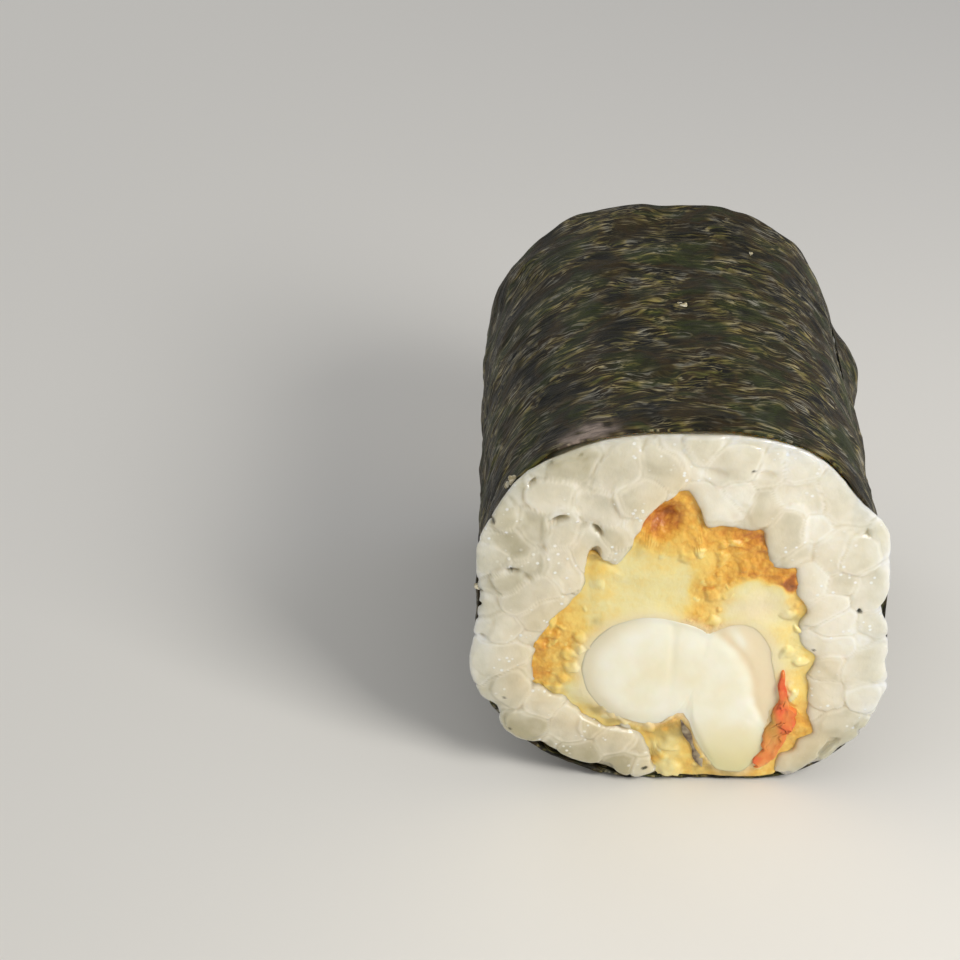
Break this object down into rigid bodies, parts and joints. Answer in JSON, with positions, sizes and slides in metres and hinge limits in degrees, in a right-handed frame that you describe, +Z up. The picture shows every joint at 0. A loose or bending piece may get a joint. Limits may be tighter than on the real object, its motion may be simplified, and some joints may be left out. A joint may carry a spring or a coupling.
{
  "type": "fried shrimp sushi roll piece",
  "caption": "Short cut piece of a seaweed-wrapped sushi roll lying on its side, with a horseshoe of rice round a battered shrimp that shows at both cuts.",
  "frame": {"origin": "on the board, under the middle of the piece, which lies on its side", "axes": "+Z up, +Y along the roll's axis from the shown cut to the far one, +X to the right as the shown cut is looked at"},
  "size_m": [0.0355, 0.0408, 0.0364],
  "materials": {
    "nori": "damp dried-seaweed sheet, nearly black with olive and brown, fine papery wrinkles and a satin sheen",
    "rice": "cooked short-grain rice, warm off-white, slightly translucent and moist",
    "batter": "fried batter, pale yellow and smooth inside, golden orange and crumbly at its crust",
    "shrimp": "cooked shrimp meat, creamy white, smooth and moist",
    "shell": "orange-red skin of the cooked shrimp, moist and mottled",
    "vein": "dark grey vein, soft and moist"
  },
  "bodies": {
    "root": {"nori": "nori", "rice": "rice", "batter": "batter", "shrimp": "shrimp", "shell_strip": "shell", "vein": "vein"}
  },
  "joints": []
}
